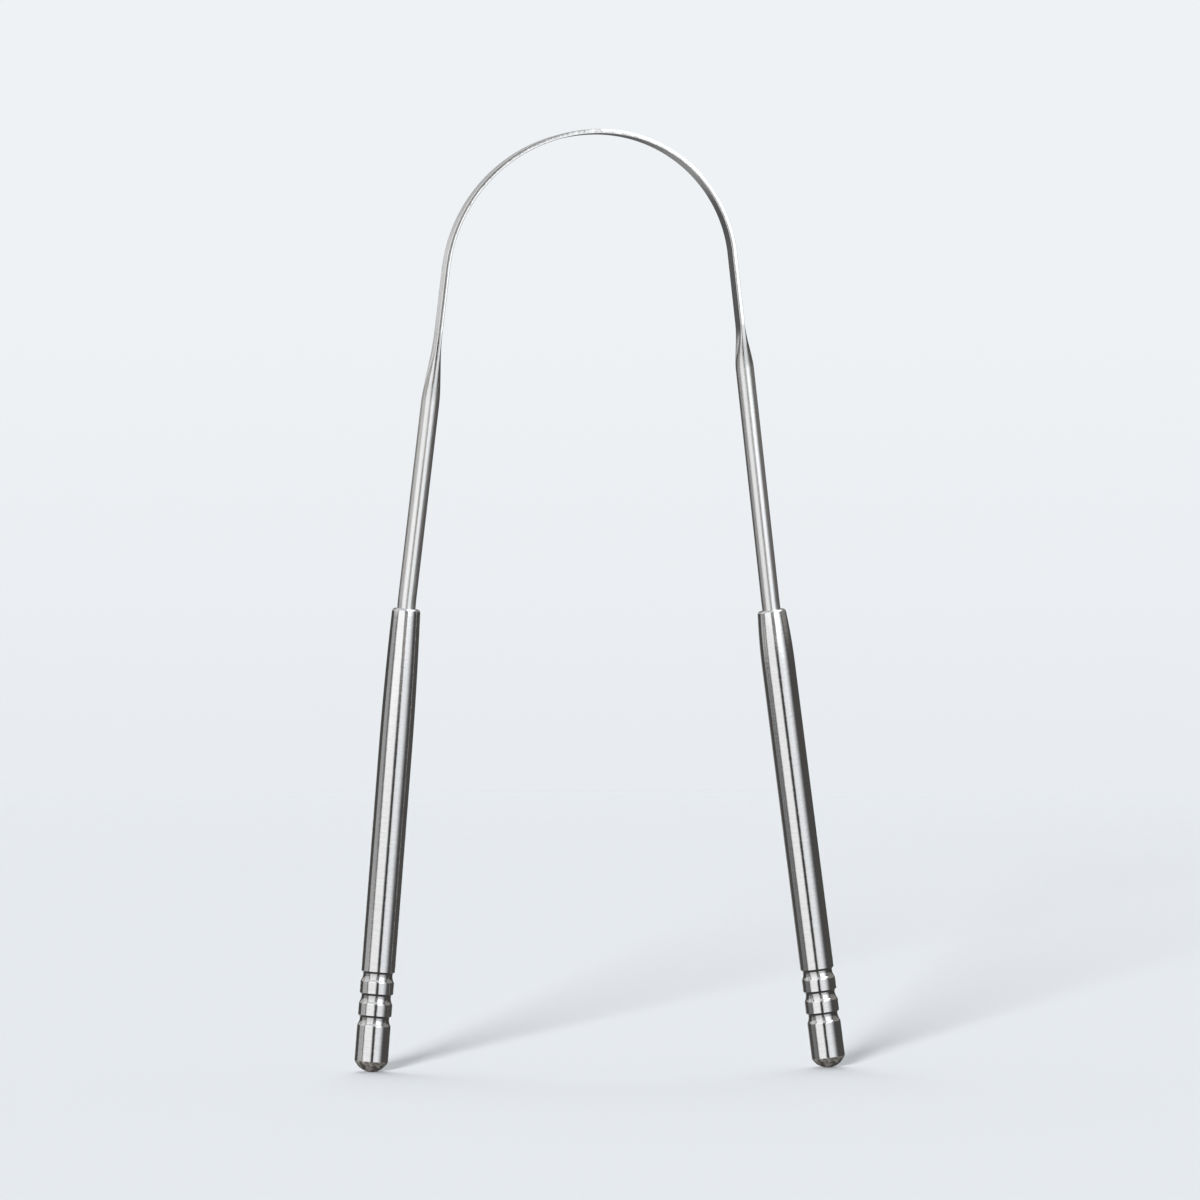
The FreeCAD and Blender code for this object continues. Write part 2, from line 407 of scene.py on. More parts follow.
def groove_middles(handles):
    """The height of each rolled groove's middle above the foot's tip."""
    first = handles.dome_height + handles.first_groove_height
    return first + handles.groove_pitch * np.arange(handles.groove_count)


def grooved_radius(handles, heights, radius, offset):
    """The radius of a wall that follows the rolled grooves at an offset inwards.

    Each groove is an arc about a centre outside the tube, and its lips are rounded off.
    """
    half, depth = handles.groove_width / 2, handles.groove_depth
    arc = (half**2 + depth**2) / (2 * depth)
    centre = handles.tube_diameter / 2 - depth + arc
    gap = np.abs(heights[:, None] - groove_middles(handles)).min(axis=1)
    dip = centre - np.sqrt(np.clip((arc + offset) ** 2 - gap**2, 0, None))
    return softer_least(np.full(len(heights), radius), dip, handles.groove_lip)


def rolled_radius(handles, heights):
    """The tube's outside where grooves are rolled in, with a steep upper flank and a long lower one.

    Each flank is an arc that is upright at the groove's deepest line and ends at its lip: the dip is
    depth - R + the root of (R squared - rise squared), with R = (run squared + depth squared) / 2 depth.
    """
    depth, steep = handles.groove_depth, handles.groove_waist
    waists = groove_middles(handles) + handles.groove_width / 2 - steep
    rise = heights[:, None] - waists
    run = np.where(rise > 0, steep, handles.groove_width - steep)
    arc = (run**2 + depth**2) / (2 * depth)
    dips = depth - arc + np.sqrt(np.clip(arc**2 - rise**2, 0, None))
    plain = np.full(len(heights), handles.tube_diameter / 2)
    return softer_least(plain, plain - dips.max(axis=1), handles.groove_lip)


def wall_heights(handles, top):
    """Heights up a grooved wall, close together at the grooves and far apart elsewhere."""
    foot = handles.dome_height
    middles = groove_middles(handles)
    low, high = middles[0] - handles.groove_width, middles[-1] + handles.groove_width
    fine = np.arange(low, high, GROOVE_STEP_MM * MM)
    below = np.linspace(foot, low, FOOT_STEPS, endpoint=False)
    return np.concatenate([below, fine, np.linspace(high, top, WALL_STEPS)])


# materials

# the stretch of a noise's values that each look is spread over
NOISE_RANGE = (0.3, 0.7)
LINE_RANGE = (0.36, 0.66)
STAIN_RANGE = (0.42, 0.6)
STAIN_SHARE = (0.1, 0.9)
# what lines and grit make of a roughness, and what rubbing takes off it, as shares of it
LINE_GLOSS = (0.8, 1.3)
GRIT_GLOSS = (0.8, 1.2)
EDGE_POLISH = 0.35
# the colour of the painted shade in a groove, as a share of the lines' colour
PAINTED_SHADE_SHARE = 0.72
# the foot's grit, its stained patches and the depth of the grit, in millimetres
GRIT_MM = 0.3
PATCH_MM = 0.9
GRIT_DEPTH_MM = 0.05
# less than a clean metal's, for the foot's oxide skin
FOOT_METALLIC = 0.8


def node(tree, kind, inputs=(), **settings):
    """Add a node with its settings. Its inputs go by name or in order: values, outputs to link, or nodes.

    A node among them stands for its first output that is in use.
    """
    added = tree.nodes.new(kind)
    for key, value in settings.items():
        setattr(added, key, value)
    for key, value in inputs.items() if isinstance(inputs, dict) else enumerate(inputs):
        if isinstance(value, bpy.types.Node):
            value = next(output for output in value.outputs if output.enabled)
        if isinstance(value, bpy.types.NodeSocket):
            tree.links.new(value, added.inputs[key])
        else:
            added.inputs[key].default_value = value
    return added


def opaque(rgb):
    """A colour with full alpha, as a socket holds it."""
    return (*rgb, 1.0)


def new_material(name):
    """An empty material and its node tree."""
    material = bpy.data.materials.new(name)
    material.use_nodes = True
    material.node_tree.nodes.clear()
    return material, material.node_tree


def lined_steel(name, looks, line_mm, line_tilt, mottle_mm, mottle_tilt):
    """Steel with fine lines, as drawing, rolling and grinding leave them, and a slight mottle.

    Its looks are its colour, the colour of its lines and its roughness. The lines are noise on the
    straightened piece, stretched to line_mm across, across and along it, and the mottle is even noise of
    mottle_mm. Both tilt the surface by a few hundredths, and the lines also tint the metal and change its
    gloss. Marked edges are rubbed brighter, and marked grooves get painted shade, a darker colour.
    """
    tone, line_tone, roughness = looks
    material, tree = new_material(name)
    grain = node(tree, "ShaderNodeAttribute", attribute_name="grain").outputs["Vector"]
    edge = node(tree, "ShaderNodeAttribute", attribute_name="edge").outputs["Fac"]
    hollow = node(tree, "ShaderNodeAttribute", attribute_name="hollow").outputs["Fac"]
    stretched = node(tree, "ShaderNodeMapping", {"Vector": grain, "Scale": [1 / size for size in line_mm]})
    lines = node(
        tree, "ShaderNodeTexNoise", {"Vector": stretched, "Scale": 1.0, "Detail": 3.0, "Roughness": 0.6}
    )
    mottle = node(
        tree,
        "ShaderNodeTexNoise",
        {"Vector": grain, "Scale": 1 / mottle_mm, "Detail": 3.0, "Roughness": 0.55},
    )
    lined = node(tree, "ShaderNodeMapRange", (lines, *LINE_RANGE, 1.0, 0.0))
    tints = {"Factor": lined, "A": opaque(tone), "B": opaque(line_tone)}
    tinted = node(tree, "ShaderNodeMix", tints, data_type="RGBA")
    # painted shade: the colour darkens towards the bottom of each rolled groove that the tube marks
    painted_shade_colour = opaque([PAINTED_SHADE_SHARE * v for v in line_tone])
    with_painted_shade = node(tree, "ShaderNodeMix", {"Factor": hollow, "A": tinted, "B": painted_shade_colour}, data_type="RGBA")
    spread = (roughness * share for share in LINE_GLOSS)
    gloss = node(tree, "ShaderNodeMapRange", (lines, *NOISE_RANGE, *spread))
    worn = node(tree, "ShaderNodeMath", (edge, -roughness * EDGE_POLISH, gloss), operation="MULTIPLY_ADD")
    mottled = node(
        tree, "ShaderNodeBump", {"Height": mottle, "Strength": 1.0, "Distance": mottle_tilt * mottle_mm * MM}
    )
    depth = line_tilt * min(line_mm) * MM
    scored = node(
        tree, "ShaderNodeBump", {"Height": lines, "Normal": mottled, "Strength": 1.0, "Distance": depth}
    )
    shader = node(
        tree,
        "ShaderNodeBsdfPrincipled",
        {"Base Color": with_painted_shade, "Metallic": 1.0, "Roughness": worn, "Normal": scored},
    )
    node(tree, "ShaderNodeOutputMaterial", {"Surface": shader})
    return material


def polished_band(finishes):
    """Stainless steel, rolled flat and polished: near mirror, with faint roll lines along it.

    The roll lines are really some 0.05 mm wide. They are drawn as 0.3 mm, so that they show.
    """
    return lined_steel(
        "stainless_steel_rolled_and_polished",
        (finishes.band_colour, finishes.band_line_colour, finishes.band_roughness),
        line_mm=(0.3, 0.3, 16.0),
        line_tilt=0.008,
        mottle_mm=1.5,
        mottle_tilt=0.01,
    )


def drawn_wire(finishes):
    """Stainless steel, drawn through a die: soft reflections, with long straight die lines.

    The die lines are really some 0.05 mm wide. They are drawn as 0.26 mm, so that they show.
    """
    return lined_steel(
        "stainless_steel_drawn_wire",
        (finishes.wire_colour, finishes.wire_line_colour, finishes.wire_roughness),
        line_mm=(0.26, 0.26, 30.0),
        line_tilt=0.015,
        mottle_mm=0.8,
        mottle_tilt=0.015,
    )


def satin_tube(finishes):
    """Stainless steel tube, ground round its girth: crisp reflections with a fine bristle across them.

    The grinding lines are really some 0.03 mm wide. They are drawn as 0.25 mm, so that they show.
    """
    return lined_steel(
        "stainless_steel_tube_ground_satin",
        (finishes.tube_colour, finishes.tube_line_colour, finishes.tube_roughness),
        line_mm=(1.6, 1.6, 0.25),
        line_tilt=0.022,
        mottle_mm=0.5,
        mottle_tilt=0.02,
    )


def ground_foot(finishes):
    """Steel plug, ground and tumbled: dull and grainy, with brownish stain left between the grains.

    The grit marks are really some 0.1 mm wide. They are drawn wider, so that they show.
    """
    material, tree = new_material("stainless_steel_ground_and_tumbled")
    grain = node(tree, "ShaderNodeAttribute", attribute_name="grain").outputs["Vector"]
    grit = node(
        tree, "ShaderNodeTexNoise", {"Vector": grain, "Scale": 1 / GRIT_MM, "Detail": 4.0, "Roughness": 0.7}
    )
    patches = node(
        tree, "ShaderNodeTexNoise", {"Vector": grain, "Scale": 1 / PATCH_MM, "Detail": 3.0, "Roughness": 0.6}
    )
    stain = node(tree, "ShaderNodeMapRange", (patches, *STAIN_RANGE, *STAIN_SHARE))
    tints = {"Factor": stain, "A": opaque(finishes.plug_colour), "B": opaque(finishes.plug_stain_colour)}
    tone = node(tree, "ShaderNodeMix", tints, data_type="RGBA")
    spread = (finishes.plug_roughness * share for share in GRIT_GLOSS)
    gloss = node(tree, "ShaderNodeMapRange", (grit, *NOISE_RANGE, *spread))
    grains = node(
        tree, "ShaderNodeBump", {"Height": grit, "Strength": 1.0, "Distance": GRIT_DEPTH_MM * MM}
    )
    shader = node(
        tree,
        "ShaderNodeBsdfPrincipled",
        {"Base Color": tone, "Metallic": FOOT_METALLIC, "Roughness": gloss, "Normal": grains},
    )
    node(tree, "ShaderNodeOutputMaterial", {"Surface": shader})
    return material


# the pieces


def band_half(side, settings):
    """Half of the band: round the arch from its top, then straight down to where the taper starts."""
    wire = settings.wire
    top = apex(settings)
    centre = top - (0, side.arch_radius)
    turn = np.linspace(0, np.pi / 2 - side.leg_angle, ARC_STEPS)
    round_normals = np.column_stack([side.sign * np.sin(turn), np.cos(turn)])
    down = downwards(side, side.leg_angle)
    run = np.linspace(0, side.flat_length, RUN_STEPS)[1:, None]
    straight = place(side, settings, "arc") + run * down
    centres = np.vstack([centre + side.arch_radius * round_normals, straight])
    normals = np.vstack([round_normals, np.tile(round_normals[-1], (len(run), 1))])
    sections = np.tile(flat_section(wire), (len(centres), 1, 1))
    rows = swept(centres, normals, sections)
    grain = grain_of(sections, path_lengths(centres) * side.sign)
    return outward(rows, side), outward(grain, side)


def leg_path(side, settings):
    """A leg's centre line: the taper, a straight run, the slight bend at the mouth, and the hidden tail."""
    wire = settings.wire
    down, onwards = downwards(side, side.leg_angle), downwards(side, side.handle_angle)
    start = place(side, settings, "arc") + down * side.flat_length
    bend = place(side, settings, "bend")
    turn = abs(side.leg_angle - side.handle_angle)
    back = wire.bend_radius * tan(turn / 2)
    taper = start + np.linspace(0, side.taper_length, TAPER_STEPS)[:, None] * down
    run = np.linalg.norm(bend - taper[-1]) - back
    straight = taper[-1] + np.linspace(0, run, RUN_STEPS)[1:-1, None] * down
    leans = np.linspace(side.leg_angle, side.handle_angle, BEND_STEPS)
    ways = np.column_stack([side.sign * np.sin(leans), -np.cos(leans)])
    # the arc's points follow from adding up its short chords
    mids = (ways[1:] + ways[:-1]) / 2
    chords = np.vstack([[0, 0], np.cumsum(mids, axis=0)]) * (wire.bend_radius * turn / (BEND_STEPS - 1))
    curve = bend - down * back + chords
    tail = bend + onwards * np.linspace(back, wire.bend_height + wire.tail_length, RUN_STEPS)[1:, None]
    centres = np.vstack([taper, straight, curve, tail])
    before, after = len(taper) + len(straight), len(tail)
    directions = np.vstack([np.tile(down, (before, 1)), ways, np.tile(onwards, (after, 1))])
    normals = np.column_stack([-directions[:, 1], directions[:, 0]]) * side.sign
    return centres, normals


def wire_leg(side, settings):
    """The wire below the band: its section passes from the flat one to the round one over the taper.

    The share of the round one is 3 s squared - 2 s cubed, where s runs from 0 to 1 down the taper. The marks
    say how far the press has brightened the steel: fully at the band, and not at all below the taper.
    """
    wire = settings.wire
    centres, normals = leg_path(side, settings)
    share = np.ones(len(centres))
    run = np.linspace(0, 1, TAPER_STEPS)
    share[:TAPER_STEPS] = 3 * run**2 - 2 * run**3
    flat, circle = flat_section(wire), round_section(wire)
    sections = flat + share[:, None, None] * (circle - flat)
    rows = swept(centres, normals, sections)
    grain = grain_of(sections, path_lengths(centres) * side.sign)
    marks = {"edge": PRESSED_MARK * np.repeat(1 - share, sections.shape[1])}
    return outward(rows, side), outward(grain, side), marks


def tube_profile(side, settings):
    """A tube's closed outline as (radius, height): up the outside, over the rounded mouth, down the bore."""
    wire, handles = settings.wire, settings.handles
    outer, bore = handles.tube_diameter / 2, handles.tube_diameter / 2 - handles.tube_wall
    mouth_z = handles.dome_height + handles.tube_length
    start = mouth_z - side.swage_length
    drop = outer - handles.mouth_diameter / 2
    sweep = (side.swage_length**2 + drop**2) / (2 * drop)
    fillet = handles.mouth_edge_radius
    heights = wall_heights(handles, start)
    outside = np.column_stack([rolled_radius(handles, heights), heights])
    inside = np.column_stack([grooved_radius(handles, heights, bore, handles.tube_wall), heights])
    rise = np.linspace(0, side.swage_length - fillet, SWAGE_STEPS)[1:]
    swage = np.column_stack([outer - sweep + np.sqrt(sweep**2 - rise**2), start + rise])
    turn = np.linspace(0, np.pi / 2, RIM_STEPS)[1:]
    corner = np.array([swage[-1, 0] - fillet, mouth_z - fillet])
    rim = corner + fillet * np.column_stack([np.cos(turn), np.sin(turn)])
    grip = wire.wire_diameter / 2 + handles.grip_clearance
    mouth = np.array([[grip, mouth_z], [grip, mouth_z - handles.grip_length]])
    return np.vstack([outside, swage, rim, mouth, inside[::-1]])


def handle_tube(side, settings):
    """A tube turned round its handle's axis, with marks for its rubbed edges and for the painted shade in its
    grooves.
    """
    handles = settings.handles
    profile = tube_profile(side, settings)
    rows, grain = revolved(profile, place(side, settings, "tip"), side, side.handle_angle)
    depth = np.clip((handles.tube_diameter / 2 - profile[:, 0]) / handles.groove_depth, 0, 1)
    top_groove = groove_middles(handles)[-1] + handles.groove_width
    # painted shade in the grooves: the deeper the surface lies in a groove, the darker its colour
    hollow = np.where(profile[:, 1] < top_groove, depth**2, 0.0)
    steps = np.diff(profile, axis=0, append=profile[:1])
    heading = np.unwrap(np.arctan2(steps[:, 1], steps[:, 0]))
    bends = np.abs(heading - np.roll(heading, 1)) / (np.linalg.norm(steps, axis=1) + TINY)
    edge = np.clip(bends * handles.groove_lip, 0, 1) * (1 - hollow)
    marks = {
        "hollow": np.repeat(hollow, TURN_STEPS),
        "edge": np.repeat(edge, TURN_STEPS),
    }
    return rows, grain, marks


def end_plug(side, settings):
    """A domed foot and its shank: a ball's cap, ground flat at the ground, and a wall that fills the tube."""
    handles = settings.handles
    outer, bore = handles.tube_diameter / 2, handles.tube_diameter / 2 - handles.tube_wall
    ball = dome_radius(handles)
    turn = np.linspace(DOME_START, asin(outer / ball), DOME_STEPS)
    dome = ball * np.column_stack([np.sin(turn), 1 - np.cos(turn)])
    shank = bore - handles.plug_clearance
    top = groove_middles(handles)[-1] + handles.shank_overrun
    heights = wall_heights(handles, top)
    heights = heights[heights <= top]
    offset = handles.tube_wall + handles.plug_clearance
    wall = np.column_stack([grooved_radius(handles, heights, shank, offset), heights])
    end = np.array([[shank - handles.shank_chamfer, top + handles.shank_chamfer]])
    profile = np.vstack([dome, wall, end])
    rows, grain = revolved(profile, place(side, settings, "tip"), side, side.handle_angle)
    rows[:, :, 2] = np.maximum(rows[:, :, 2], 0.0)
    return rows, grain


def finish_piece(piece, material, body, node_name):
    """Give a piece its steel, its body and the node that it stands for."""
    piece.data.materials.append(material)
    if body:
        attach(piece, body)
    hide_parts(node_name)


def arm_pieces(settings, word, shape, steel, ring=False):
    """Build one kind of piece for both arms, such as the two tubes."""
    for side in sides(settings):
        piece = skin(f"{word}_{side.name}", *shape(side, settings), ring=ring)
        finish_piece(piece, steel, f"{side.name}_arm", f"{side.name}_{word}")


class SCRAPER_OT_band(bpy.types.Operator):
    """Build both halves of the flat band"""

    bl_idname = "scraper.band"
    bl_label = "Scraping band"

    def execute(self, context):
        settings = context.scene.tongue_scraper
        steel = polished_band(settings.finishes)
        top = apex(settings)
        for side in sides(settings):
            piece = skin(f"band_{side.name}_half", *band_half(side, settings))
            end = place(side, settings, "arc")
            finish_piece(piece, steel, None, "scraping_band")
            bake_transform(piece)
        return {"FINISHED"}


class SCRAPER_OT_legs(bpy.types.Operator):
    """Build the wire legs, from flat to round and on into the handles"""

    bl_idname = "scraper.legs"
    bl_label = "Wire legs"

    def execute(self, context):
        settings = context.scene.tongue_scraper
        arm_pieces(settings, "wire_leg", wire_leg, drawn_wire(settings.finishes))
        return {"FINISHED"}


class SCRAPER_OT_tubes(bpy.types.Operator):
    """Build the handle tubes with their swaged mouths and rolled grooves"""

    bl_idname = "scraper.tubes"
    bl_label = "Handle tubes"

    def execute(self, context):
        settings = context.scene.tongue_scraper
        steel = satin_tube(settings.finishes)
        arm_pieces(settings, "handle_tube", handle_tube, steel, ring=True)
        return {"FINISHED"}


class SCRAPER_OT_plugs(bpy.types.Operator):
    """Build the domed feet that close the tubes"""

    bl_idname = "scraper.plugs"
    bl_label = "End plugs"

    def execute(self, context):
        settings = context.scene.tongue_scraper
        arm_pieces(settings, "end_plug", end_plug, ground_foot(settings.finishes))
        return {"FINISHED"}


# the studio

# upright sheets round the object, which only reflections see: how far round from the camera each starts and
# ends, in degrees, negative to its left, its brightness at some heights in millimetres, its colour, and the
# share of its width over which it fades to the flags' brightness at either end
Sheet = namedtuple("Sheet", "name start end levels tone fades")
SHEET_RADIUS = 0.7
WHITE = (1.0, 1.0, 1.0)
CRISP = (0.01, 0.01)
# from which height to which the sheets reach, in millimetres
LOW, HIGH = -350.0, 650.0
SHEET_STEPS = 24
HEIGHT_STEPS = 6
LEVEL_STEPS = 4
TOP_BOX_SIZE = (0.8, 0.7)
TOP_BOX_PLACE = (0.5, -0.25, 0.75)
# the floor lies a hair below the feet, and its disc has a tiny hole at its middle
FLOOR_DROP = 0.02 * MM
FLOOR_HOLE = 1.0 * MM
FLOOR_RADIUS = 1.3
FLOOR_FADE = (0.75, 1.25)
FLOOR_STEPS = 24
FLOOR_TURN_STEPS = 97
# between which slopes of the camera's rays the backdrop goes from its low colour to its high one
HORIZON = (-0.06, 0.03)
# how far the point that the camera looks at lies off the upright axis
TARGET_SHIFT = (-0.085 * MM, -0.042 * MM)
SENSOR_MM = 36.0
CLIP_END = 20.0
# the two lamps: the way their light travels round from +Y, how steeply, and how broad they look
KEY_WAY = (radians(19), radians(9), radians(9.5))
REAR_WAY = (radians(175), radians(62), radians(35))


def upright_sheets(stage):
    """The soft boxes, the grey card and the flags, in order from the rear round the left to the right rear.

    Below some 150 mm the flags are dark, for the handles and for those sides of the wire that lean down.
    Above 190 mm they are paler, for the sides that lean up. The cards at the left also are paler at about
    the floor's height, which the inner side of the right wire shows. The two at the back show in the band's
    faces, and the edge flag keeps the band's left edge darker than its right one.
    """
    flag, brown, bounce = stage.flag_strength, stage.flag_colour, stage.bounce_strength

    def two(low, high):
        """One brightness below, and another above."""
        return ((150.0, low), (190.0, high))

    def card(lowest, inner, handle, high):
        """A brightness below the floor, at it, beside the handles, and above them."""
        below = ((-70.0, lowest), (-30.0, inner), (35.0, inner))
        return below + ((65.0, handle), (150.0, handle), (185.0, high))

    def back(dark, start, end, pale):
        """Dark up to a start, pale from an end on, and dark again high up."""
        low = ((40.0, 0.4), (56.0, dark[0]), (start, dark[1]))
        return low + ((end, pale), (250.0, pale), (280.0, 0.15))

    left = ((60.0, stage.left_box_strength), (100.0, 1.35))
    right = ((60.0, stage.right_box_strength), (120.0, 1.6), (170.0, 1.6), (200.0, 2.4))
    middle = ((60.0, 0.06), (80.0, 0.5), (125.0, 0.5), (145.0, 0.15), (170.0, 0.5))
    edge = ((110.0, stage.right_box_strength), (130.0, 0.3))
    return (
        Sheet("flag_back", -195, -165, back((0.08, 0.1), 155.0, 175.0, 0.5), WHITE, CRISP),
        Sheet("card_back", -165, -150, back((0.12, 0.14), 135.0, 150.0, 0.85), WHITE, CRISP),
        Sheet("flag_left", -150, -108, two(flag, 0.55), brown, CRISP),
        Sheet("bounce_card", -108, -78, card(bounce / 2, 0.52, bounce, 0.85), WHITE, CRISP),
        Sheet("flag_grey", -78, -70, card(0.2, 0.65, 0.26, 0.95), brown, CRISP),
        Sheet("soft_box_left", -70, -2, left, stage.left_box_colour, (0.22, 0.18)),
        Sheet("flag_middle", -2, 8, middle, brown, CRISP),
        Sheet("flag_edge", 8, 14, edge, WHITE, (1.0, 0.01)),
        Sheet("soft_box_right", 14, 78, right, stage.right_box_colour, (0.02, 0.65)),
        Sheet("flag_right", 78, 168, two(flag, 0.3), brown, CRISP),
    )


def sheet(name, rows):
    """Make an open stage sheet from a grid of points, with a UV map that runs from 0 to 1 both ways."""
    count, columns = rows.shape[:2]
    index = np.arange(count * columns).reshape(count, columns)
    quads = np.stack([index[:-1, :-1], index[:-1, 1:], index[1:, 1:], index[1:, :-1]], axis=2).reshape(-1, 4)
    mesh = bpy.data.meshes.new(name)
    mesh.from_pydata(rows.reshape(-1, 3).tolist(), [], quads.tolist())
    v, u = np.meshgrid(np.linspace(0, 1, count), np.linspace(0, 1, columns), indexing="ij")
    uv = np.column_stack([u.ravel(), v.ravel()])[quads.ravel()]
    mesh.uv_layers.new(name="sheet").uv.foreach_set("vector", uv.astype(np.float32).ravel())
    made = bpy.data.objects.new(name, mesh)
    bpy.context.scene.collection.objects.link(made)
    return made


def upright_sheet(stage, extent):
    """Part of an upright cylinder round the object: radius times (sin, -cos) of the azimuth, and height."""
    turn = stage.camera_azimuth + np.radians(np.linspace(extent.start, extent.end, SHEET_STEPS))
    heights = np.linspace(LOW, HIGH, HEIGHT_STEPS) * MM
    rows = np.zeros((len(heights), len(turn), 3))
    rows[:, :, 0] = SHEET_RADIUS * np.sin(turn)
    rows[:, :, 1] = -SHEET_RADIUS * np.cos(turn)
    rows[:, :, 2] = heights[:, None]
    return sheet(extent.name, rows)


def level_sheet(name, size, middle):
    """A level rectangle about its middle."""
    across, along = np.meshgrid(*(np.linspace(-run / 2, run / 2, LEVEL_STEPS) for run in size))
    return sheet(name, np.stack([across, along, 0 * across], axis=2) + middle)


def glow(name, tone, levels, base, fades):
    """Light from a sheet: its brightness follows levels by height, and fades to a base at either end.

    Rays that come by way of the floor get none of it, or the bright metal would light the floor.
    """
    material, tree = new_material(name)
    place_on_sheet = node(tree, "ShaderNodeTexCoord").outputs["UV"]
    axes = node(tree, "ShaderNodeSeparateXYZ", (place_on_sheet,)).outputs
    most = max(strength for height, strength in levels)
    ramp = node(tree, "ShaderNodeValToRGB", (axes["Y"],))
    stops = ramp.color_ramp.elements
    stops.remove(stops[1])
    for i, (height, strength) in enumerate(levels):
        at = (height - LOW) / (HIGH - LOW)
        stop = stops.new(at) if i else stops[0]
        stop.position = at
        stop.color = opaque([strength / most * v for v in tone])
    fade_in, fade_out = (
        node(tree, "ShaderNodeMapRange", (axes["X"], start, end), interpolation_type="SMOOTHSTEP")
        for start, end in ((0.0, fades[0]), (1.0, 1.0 - fades[1]))
    )
    share = node(tree, "ShaderNodeMath", (fade_in, fade_out), operation="MULTIPLY")
    dim = opaque([base / most * v for v in tone])
    level = node(tree, "ShaderNodeMix", {"Factor": share, "A": dim, "B": ramp}, data_type="RGBA")
    bounces = node(tree, "ShaderNodeLightPath").outputs["Diffuse Depth"]
    direct = node(tree, "ShaderNodeMath", (bounces, 0.5), operation="LESS_THAN")
    power = node(tree, "ShaderNodeMath", (direct, most), operation="MULTIPLY")
    light = node(tree, "ShaderNodeEmission", {"Color": level, "Strength": power})
    node(tree, "ShaderNodeOutputMaterial", {"Surface": light})
    return material


def pale_floor(stage):
    """Matt pale floor that holds the shadow near the object and fades into the backdrop far away."""
    material, tree = new_material("studio_floor_matt")
    place_on_floor = node(tree, "ShaderNodeTexCoord").outputs["Object"]
    far = node(tree, "ShaderNodeVectorMath", (place_on_floor,), operation="LENGTH")
    fade = node(tree, "ShaderNodeMapRange", (far, *FLOOR_FADE), interpolation_type="SMOOTHSTEP")
    matt = node(tree, "ShaderNodeBsdfDiffuse", {"Color": opaque(stage.floor_colour)})
    clear = node(tree, "ShaderNodeBsdfTransparent")
    mixed = node(tree, "ShaderNodeMixShader", (fade, matt, clear))
    node(tree, "ShaderNodeOutputMaterial", {"Surface": mixed})
    return material


def floor_disc(stage):
    """A disc just below the feet: radius times (cos, sin) of the turn."""
    turn = np.linspace(0, 2 * np.pi, FLOOR_TURN_STEPS)
    out = np.linspace(FLOOR_HOLE, FLOOR_RADIUS, FLOOR_STEPS)
    rows = np.zeros((len(out), len(turn), 3))
    rows[:, :, 0] = out[:, None] * np.cos(turn)
    rows[:, :, 1] = out[:, None] * np.sin(turn)
    rows[:, :, 2] = -FLOOR_DROP
    floor = sheet("studio_floor", rows)
    floor.data.materials.append(pale_floor(stage))
    hide_from(floor, "glossy")


def pale_world(stage):
    """A pale backdrop for the camera, in reflections and through glass, and a soft fill for matt surfaces."""
    world = bpy.data.worlds.new("studio")
    world.use_nodes = True
    tree = world.node_tree
    tree.nodes.clear()
    direction = node(tree, "ShaderNodeTexCoord").outputs["Generated"]
    axes = node(tree, "ShaderNodeSeparateXYZ", (direction,)).outputs
    rise = node(tree, "ShaderNodeMapRange", (axes["Z"], *HORIZON), interpolation_type="SMOOTHSTEP")
    low, high = opaque(stage.backdrop_low_colour), opaque(stage.backdrop_high_colour)
    tone = node(tree, "ShaderNodeMix", {"Factor": rise, "A": low, "B": high}, data_type="RGBA")
    rays = node(tree, "ShaderNodeLightPath").outputs
    shiny = node(tree, "ShaderNodeMath", (rays["Is Camera Ray"], rays["Is Glossy Ray"]), operation="MAXIMUM")
    seen = node(tree, "ShaderNodeMath", (shiny, rays["Is Transmission Ray"]), operation="MAXIMUM")
    more = stage.fill_from_behind
    spread = (stage.fill_strength * (1 - more), stage.fill_strength * (1 + more))
    around = node(tree, "ShaderNodeMapRange", (axes["Y"], -1.0, 1.0, *spread))
    fill = node(tree, "ShaderNodeBackground", {"Color": opaque(WHITE), "Strength": around})
    backdrop = node(tree, "ShaderNodeBackground", {"Color": tone, "Strength": 1.0})
    mixed = node(tree, "ShaderNodeMixShader", (seen, fill, backdrop))
    node(tree, "ShaderNodeOutputWorld", {"Surface": mixed})
    bpy.context.scene.world = world


def hide_from(thing, *rays):
    """Keep a stage sheet or lamp out of some kinds of ray."""
    for ray in rays:
        setattr(thing, f"visible_{ray}", False)


def light_up(made, tone, levels, base, fades=CRISP):
    """Let a sheet glow, for reflections only."""
    made.data.materials.append(glow(made.name, tone, levels, base, fades))
    hide_from(made, "camera", "diffuse", "transmission", "shadow")


def lamp(name, share, way):
    """A far lamp that lights the floor by a share of the whole, seen by matt surfaces only."""
    azimuth, elevation, breadth = way
    light = bpy.data.lights.new(name, "SUN")
    light.energy = share * pi / sin(elevation)
    light.angle = breadth
    made = bpy.data.objects.new(name, light)
    travel = Vector((cos(elevation) * sin(azimuth), cos(elevation) * cos(azimuth), -sin(elevation)))
    made.rotation_euler = travel.to_track_quat("-Z", "Y").to_euler()
    hide_from(made, "glossy")
    bpy.context.scene.collection.objects.link(made)


def camera(stage):
    """A long lens, a little above the middle of the object, that looks at it from the front left."""
    data = bpy.data.cameras.new("camera")
    data.sensor_width = SENSOR_MM
    data.lens = stage.camera_lens
    data.clip_end = CLIP_END
    made = bpy.data.objects.new("camera", data)
    target = Vector((*TARGET_SHIFT, stage.target_height))
    rise = stage.camera_height - stage.target_height
    level = sqrt(stage.camera_distance**2 - rise**2)
    made.location = target + Vector(
        (level * sin(stage.camera_azimuth), -level * cos(stage.camera_azimuth), rise)
    )
    made.rotation_euler = (target - made.location).to_track_quat("-Z", "Y").to_euler()
    bpy.context.scene.collection.objects.link(made)
    bpy.context.scene.camera = made


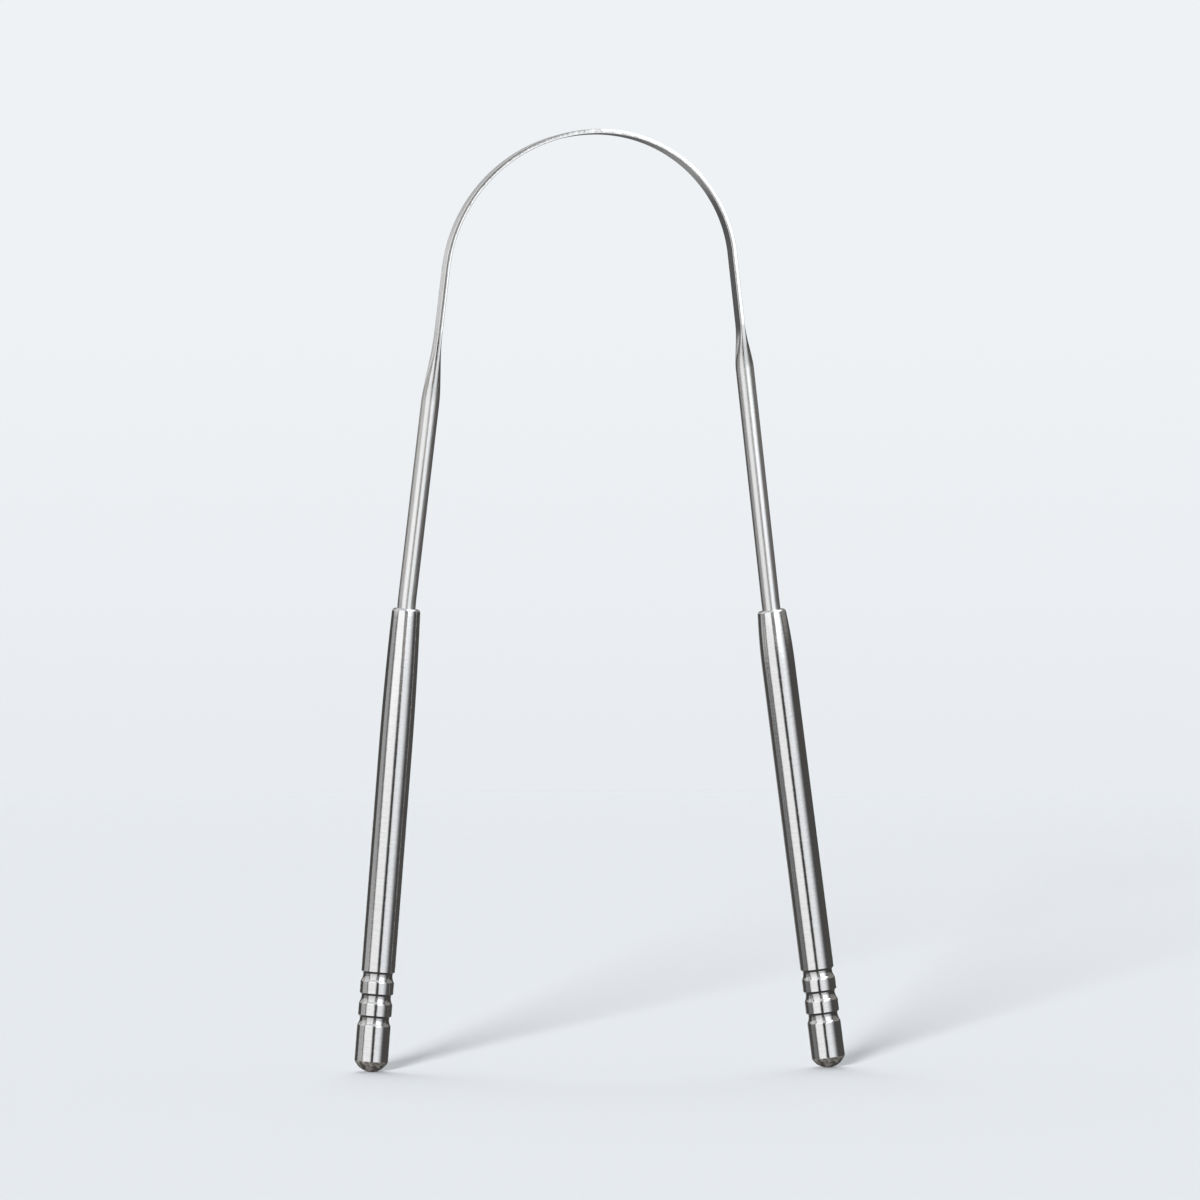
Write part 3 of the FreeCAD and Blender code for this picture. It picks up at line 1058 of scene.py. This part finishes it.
class SCRAPER_OT_stage(bpy.types.Operator):
    """Set up the floor, the backdrop, the lights, the flags and the camera"""

    bl_idname = "scraper.stage"
    bl_label = "Studio"

    def execute(self, context):
        stage = context.scene.tongue_scraper.stage
        pale_world(stage)
        floor_disc(stage)
        lamp("key", stage.key_share, KEY_WAY)
        lamp("rear", stage.rear_share, REAR_WAY)
        flag = stage.flag_strength
        for extent in upright_sheets(stage):
            light_up(upright_sheet(stage, extent), extent.tone, extent.levels, flag, extent.fades)
        top = level_sheet("soft_box_top", TOP_BOX_SIZE, TOP_BOX_PLACE)
        light_up(top, WHITE, ((0.0, stage.top_box_strength),), flag)
        below = level_sheet("flag_below", (2 * SHEET_RADIUS, 2 * SHEET_RADIUS), (0, 0, LOW * MM))
        light_up(below, stage.flag_colour, ((0.0, flag),), flag)
        camera(stage)
        context.scene.view_settings.view_transform = "Standard"
        return {"FINISHED"}


class SCRAPER_PT_pieces(bpy.types.Panel):
    """Lists what can be built"""

    bl_idname = "SCRAPER_PT_pieces"
    bl_label = "Tongue scraper"
    bl_space_type = "VIEW_3D"
    bl_region_type = "UI"
    bl_category = "Scraper"

    def draw(self, context):
        for operator in OPERATORS:
            self.layout.operator(operator.bl_idname)


OPERATORS = (SCRAPER_OT_band, SCRAPER_OT_legs, SCRAPER_OT_tubes, SCRAPER_OT_plugs, SCRAPER_OT_stage)
GROUPS = (ScraperWire, ScraperHandles, ScraperFinishes, ScraperStage, ScraperSettings)
CLASSES = GROUPS + OPERATORS + (SCRAPER_PT_pieces,)


def register():
    """Make the settings, the operators and the panel known."""
    for cls in CLASSES:
        bpy.utils.register_class(cls)
    bpy.types.Scene.tongue_scraper = bpy.props.PointerProperty(
        type=ScraperSettings, name="Tongue scraper", description="Sizes, finishes and studio of the scraper"
    )


def unregister():
    """Take them away again."""
    del bpy.types.Scene.tongue_scraper
    for cls in reversed(CLASSES):
        bpy.utils.unregister_class(cls)


def main():
    """Build every piece and the studio."""
    register()
    bpy.ops.scraper.band()
    bpy.ops.scraper.legs()
    bpy.ops.scraper.tubes()
    bpy.ops.scraper.plugs()
    bpy.ops.scraper.stage()


if __name__ == "__main__":
    main()
